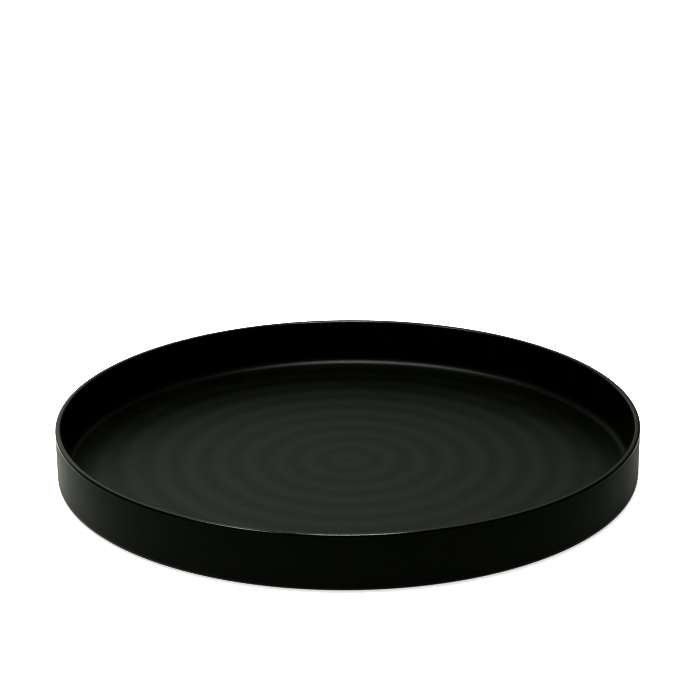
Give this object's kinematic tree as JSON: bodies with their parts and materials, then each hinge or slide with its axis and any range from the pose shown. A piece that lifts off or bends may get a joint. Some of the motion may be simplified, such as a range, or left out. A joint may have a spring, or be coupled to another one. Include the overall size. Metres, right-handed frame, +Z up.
{
  "type": "serving tray",
  "caption": "Round shallow black serving tray with an upright thin wall, crowned rim, rippled floor and non-slip foot pads, for buffet service.",
  "frame": {"origin": "centre of the tray at the height of the surface it stands on", "axes": "+Z up along the tray's axis of revolution, +X through the first foot pad"},
  "size_m": [0.4, 0.4, 0.04],
  "materials": {
    "melamine": "satin black, fine moulded texture",
    "pad_silicone": "matte",
    "pad_adhesive": "translucent acrylic adhesive film"
  },
  "bodies": {
    "root": {"tray_body": "melamine", "foot_pad_1": "pad_silicone", "foot_pad_2": "pad_silicone", "foot_pad_3": "pad_silicone", "foot_pad_4": "pad_silicone", "foot_pad_5": "pad_silicone", "foot_pad_6": "pad_silicone", "pad_adhesive_1": "pad_adhesive", "pad_adhesive_2": "pad_adhesive", "pad_adhesive_3": "pad_adhesive", "pad_adhesive_4": "pad_adhesive", "pad_adhesive_5": "pad_adhesive", "pad_adhesive_6": "pad_adhesive"}
  },
  "joints": []
}
